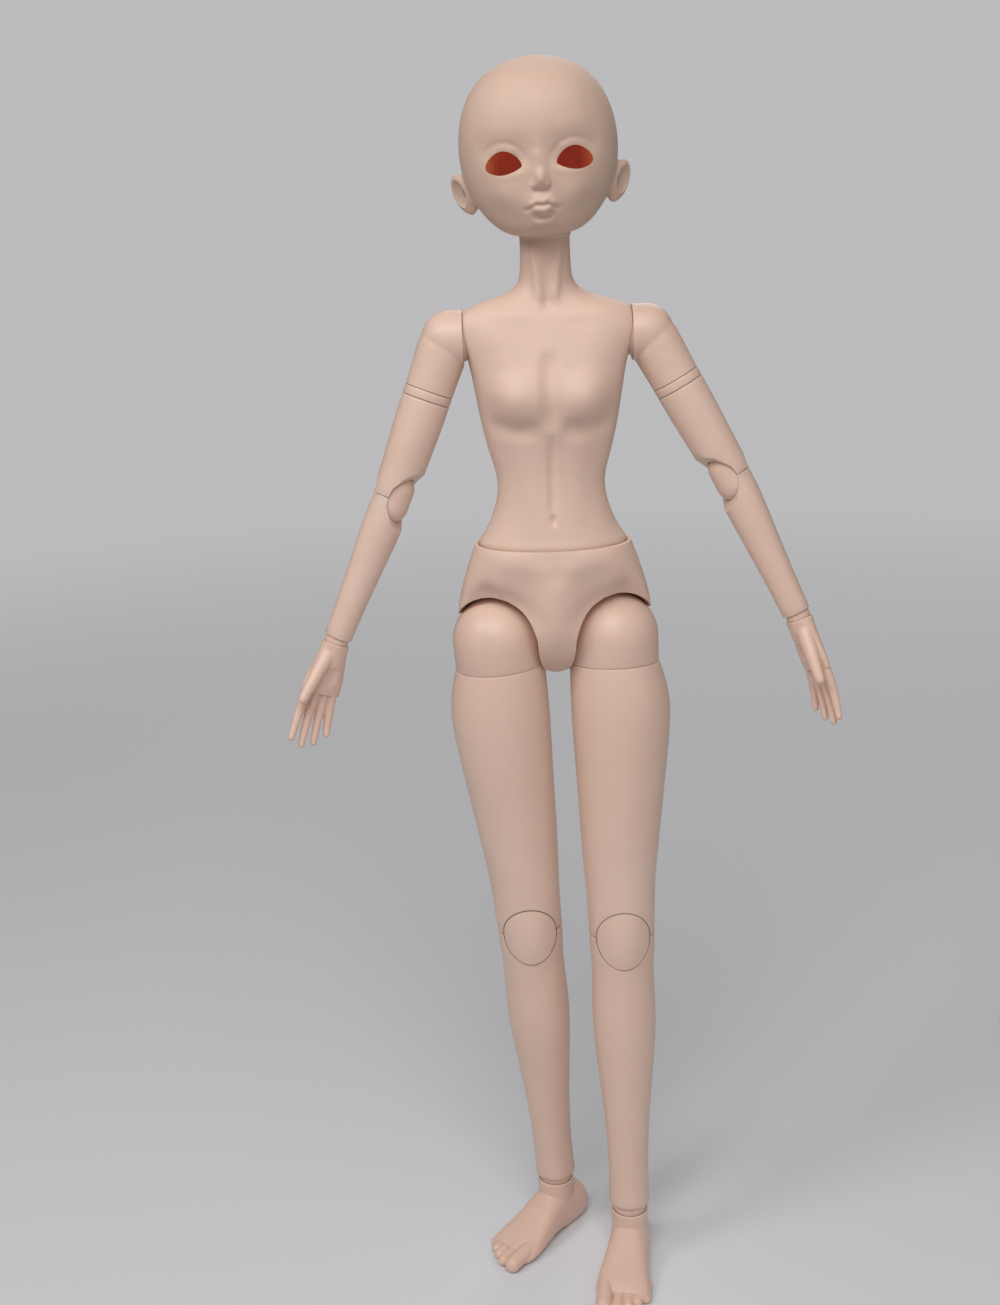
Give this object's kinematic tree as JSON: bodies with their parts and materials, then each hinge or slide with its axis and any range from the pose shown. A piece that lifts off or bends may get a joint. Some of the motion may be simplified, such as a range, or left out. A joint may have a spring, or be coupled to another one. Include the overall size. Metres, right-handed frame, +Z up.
{
  "type": "ball jointed doll",
  "caption": "Standing strung doll body with ball and double joints, hollow head with open eye sockets and a lift-off head cap, shown bare and without wig or eyes.",
  "frame": {"origin": "on the floor under the middle of the doll's box, level with both soles", "axes": "+Z up through the standing doll, -Y the way it faces, +X towards its own left side"},
  "size_m": [0.259, 0.1102, 0.5989],
  "materials": {
    "body_plastic": "satin peach-beige casting, seams kept",
    "extremity_plastic": "satin peach-beige casting, a little pinker",
    "steel_wire": "bent steel wire",
    "elastic_cord": "covered round elastic"
  },
  "bodies": {
    "pelvis": {"pelvis": "body_plastic", "leg_elastic": "elastic_cord"},
    "torso": {"torso": "body_plastic", "arm_elastic": "elastic_cord"},
    "neck_hook": {"neck_hook": "steel_wire"},
    "head_bar": {"head_bar": "steel_wire"},
    "head": {"head_face": "body_plastic", "head_cap": "body_plastic"},
    "right_hip_ball": {"right_hip_ball": "body_plastic"},
    "right_thigh": {"right_thigh": "body_plastic"},
    "right_knee_joint": {"right_knee_joint": "body_plastic"},
    "right_shin": {"right_shin": "body_plastic"},
    "right_ankle_ball": {"right_ankle_ball": "body_plastic", "right_ankle_hook": "steel_wire"},
    "right_foot": {"right_foot": "extremity_plastic"},
    "right_shoulder": {"right_shoulder": "body_plastic"},
    "right_upper_arm": {"right_upper_arm": "body_plastic", "right_upper_arm_ring": "body_plastic"},
    "right_elbow_joint": {"right_elbow_joint": "body_plastic"},
    "right_forearm": {"right_forearm": "body_plastic"},
    "right_wrist_ball": {"right_wrist_ball": "body_plastic", "right_wrist_hook": "steel_wire"},
    "right_hand": {"right_hand": "extremity_plastic"},
    "left_hip_ball": {"left_hip_ball": "body_plastic"},
    "left_thigh": {"left_thigh": "body_plastic"},
    "left_knee_joint": {"left_knee_joint": "body_plastic"},
    "left_shin": {"left_shin": "body_plastic"},
    "left_ankle_ball": {"left_ankle_ball": "body_plastic", "left_ankle_hook": "steel_wire"},
    "left_foot": {"left_foot": "extremity_plastic"},
    "left_shoulder": {"left_shoulder": "body_plastic"},
    "left_upper_arm": {"left_upper_arm": "body_plastic", "left_upper_arm_ring": "body_plastic"},
    "left_elbow_joint": {"left_elbow_joint": "body_plastic"},
    "left_forearm": {"left_forearm": "body_plastic"},
    "left_wrist_ball": {"left_wrist_ball": "body_plastic", "left_wrist_hook": "steel_wire"},
    "left_hand": {"left_hand": "extremity_plastic"}
  },
  "joints": [
    {"name": "waist_bend", "type": "hinge", "parent": "pelvis", "child": "torso", "pos_m": [0, 0.0166, 0.39198], "axis": [1, 0, 0], "range_deg": [-12, 20]},
    {"name": "neck_turn", "type": "hinge", "parent": "torso", "child": "neck_hook", "pos_m": [0, 0.0166, 0.52848], "axis": [0, 0, 1], "range_deg": [-60, 60]},
    {"name": "head_tilt", "type": "hinge", "parent": "neck_hook", "child": "head_bar", "pos_m": [0, 0.0166, 0.52848], "axis": [0, 1, 0], "range_deg": [-10, 10]},
    {"name": "head_nod", "type": "hinge", "parent": "head_bar", "child": "head", "pos_m": [0, 0.0166, 0.52848], "axis": [1, 0, 0], "range_deg": [-12, 12]},
    {"name": "right_hip_swing", "type": "hinge", "parent": "pelvis", "child": "right_hip_ball", "pos_m": [-0.028, 0.0166, 0.33598], "axis": [0.9781, -0.2079, 0], "range_deg": [-85, 8]},
    {"name": "right_thigh_turn", "type": "hinge", "parent": "right_hip_ball", "child": "right_thigh", "pos_m": [-0.028, 0.0166, 0.33598], "axis": [0.0715, -0.0262, -0.9971], "range_deg": [-15, 45]},
    {"name": "right_knee_upper", "type": "hinge", "parent": "right_thigh", "child": "right_knee_joint", "pos_m": [-0.01774, 0.01284, 0.1929], "axis": [0.9977, 0, 0.0672], "range_deg": [0, 60]},
    {"name": "right_knee_lower", "type": "hinge", "parent": "right_knee_joint", "child": "right_shin", "pos_m": [-0.0168, 0.01309, 0.17893], "axis": [0.998, 0, 0.0629], "range_deg": [0, 60]},
    {"name": "right_ankle_flex", "type": "hinge", "parent": "right_shin", "child": "right_ankle_ball", "pos_m": [-0.00754, 0.02209, 0.032], "axis": [0.7193, -0.6947, 0], "range_deg": [-25, 20]},
    {"name": "right_foot_turn", "type": "hinge", "parent": "right_ankle_ball", "child": "right_foot", "pos_m": [-0.00754, 0.02209, 0.032], "axis": [0, 0, -1], "range_deg": [-15, 30]},
    {"name": "right_shoulder_swing", "type": "hinge", "parent": "torso", "child": "right_shoulder", "pos_m": [-0.042, 0.0166, 0.47998], "axis": [-1, 0, 0], "range_deg": [-45, 170]},
    {"name": "right_upper_arm_turn", "type": "hinge", "parent": "right_shoulder", "child": "right_upper_arm", "pos_m": [-0.046, 0.0166, 0.47998], "axis": [-0.3616, -0.1011, -0.9268], "range_deg": [-20, 90]},
    {"name": "right_elbow_upper", "type": "hinge", "parent": "right_upper_arm", "child": "right_elbow_joint", "pos_m": [-0.07215, 0.00929, 0.41297], "axis": [-0.316, -0.9178, 0.2403], "range_deg": [0, 60]},
    {"name": "right_elbow_lower", "type": "hinge", "parent": "right_elbow_joint", "child": "right_forearm", "pos_m": [-0.07525, 0.00844, 0.40565], "axis": [-0.3147, -0.9139, 0.2565], "range_deg": [0, 60]},
    {"name": "right_wrist_flex", "type": "hinge", "parent": "right_forearm", "child": "right_wrist_ball", "pos_m": [-0.10354, 0.00081, 0.34374], "axis": [0.8002, 0.462, -0.3824], "range_deg": [-25, 25]},
    {"name": "right_hand_turn", "type": "hinge", "parent": "right_wrist_ball", "child": "right_hand", "pos_m": [-0.10354, 0.00081, 0.34374], "axis": [-0.3518, -0.1547, -0.9232], "range_deg": [-30, 30]},
    {"name": "left_hip_swing", "type": "hinge", "parent": "pelvis", "child": "left_hip_ball", "pos_m": [0.028, 0.0166, 0.33598], "axis": [-0.9781, -0.2079, 0], "range_deg": [-4, 85], "deforming": ["leg_elastic"]},
    {"name": "left_thigh_turn", "type": "hinge", "parent": "left_hip_ball", "child": "left_thigh", "pos_m": [0.028, 0.0166, 0.33598], "axis": [-0.0035, 0.1011, 0.9949], "range_deg": [-5, 45]},
    {"name": "left_knee_upper", "type": "hinge", "parent": "left_thigh", "child": "left_knee_joint", "pos_m": [0.0285, 0.0021, 0.19322], "axis": [1, 0, 0.0061], "range_deg": [0, 60]},
    {"name": "left_knee_lower", "type": "hinge", "parent": "left_knee_joint", "child": "left_shin", "pos_m": [0.02859, 0.001, 0.17926], "axis": [1, 0, 0.0087], "range_deg": [0, 60]},
    {"name": "left_ankle_flex", "type": "hinge", "parent": "left_shin", "child": "left_ankle_ball", "pos_m": [0.02987, -0.00723, 0.032], "axis": [0.9848, -0.1736, 0], "range_deg": [-25, 20]},
    {"name": "left_foot_turn", "type": "hinge", "parent": "left_ankle_ball", "child": "left_foot", "pos_m": [0.02987, -0.00723, 0.032], "axis": [0, 0, 1], "range_deg": [-5, 30]},
    {"name": "left_shoulder_swing", "type": "hinge", "parent": "torso", "child": "left_shoulder", "pos_m": [0.042, 0.0166, 0.47998], "axis": [-1, 0, 0], "range_deg": [-45, 170], "deforming": ["arm_elastic"]},
    {"name": "left_upper_arm_turn", "type": "hinge", "parent": "left_shoulder", "child": "left_upper_arm", "pos_m": [0.046, 0.0166, 0.47998], "axis": [-0.4818, 0.1011, 0.8705], "range_deg": [-20, 90]},
    {"name": "left_elbow_upper", "type": "hinge", "parent": "left_upper_arm", "child": "left_elbow_joint", "pos_m": [0.08083, 0.00929, 0.41705], "axis": [-0.3095, 0.8989, -0.3102], "range_deg": [0, 60]},
    {"name": "left_elbow_lower", "type": "hinge", "parent": "left_elbow_joint", "child": "left_forearm", "pos_m": [0.0844, 0.00809, 0.40999], "axis": [-0.3062, 0.8891, -0.3402], "range_deg": [0, 60]},
    {"name": "left_wrist_flex", "type": "hinge", "parent": "left_forearm", "child": "left_wrist_ball", "pos_m": [0.11248, -0.00557, 0.34902], "axis": [0.3565, -0.8824, 0.3071], "range_deg": [-25, 25]},
    {"name": "left_hand_turn", "type": "hinge", "parent": "left_wrist_ball", "child": "left_hand", "pos_m": [0.11248, -0.00557, 0.34902], "axis": [-0.3256, 0.1908, 0.9261], "range_deg": [-30, 30]}
  ]
}
